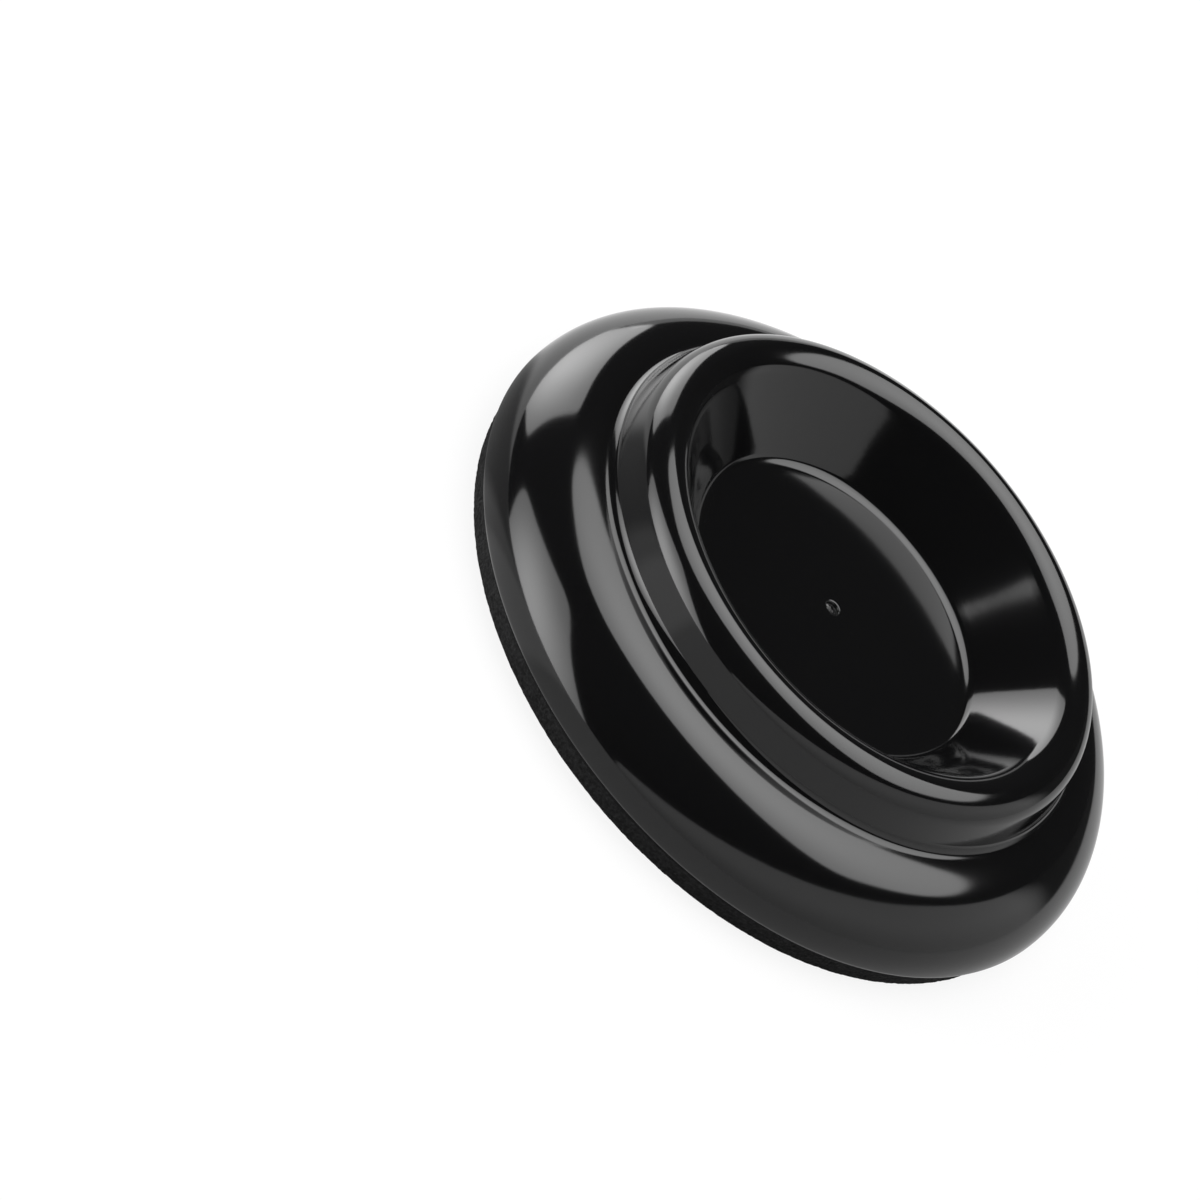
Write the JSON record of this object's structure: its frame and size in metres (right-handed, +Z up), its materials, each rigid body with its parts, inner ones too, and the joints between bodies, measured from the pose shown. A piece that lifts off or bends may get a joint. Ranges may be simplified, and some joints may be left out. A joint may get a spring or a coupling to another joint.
{
  "type": "castor cup",
  "caption": "Round black plastic cup with a foam base pad: a furniture castor or piano wheel stands in its dish, which spreads the load and guards the floor.",
  "frame": {"origin": "middle of the foam pad's underside, on the floor", "axes": "+Z up the cup's axis, out of the dish; X and Y are alike, because the cup is round"},
  "size_m": [0.125, 0.125, 0.0281],
  "materials": {
    "gloss_black_plastic": "polished moulded black plastic with a faint moulding ripple",
    "black_foam": "matt black closed-cell foam with an open, mottled cut edge"
  },
  "bodies": {
    "root": {"cup_shell": "gloss_black_plastic", "foam_pad": "black_foam"}
  },
  "joints": []
}
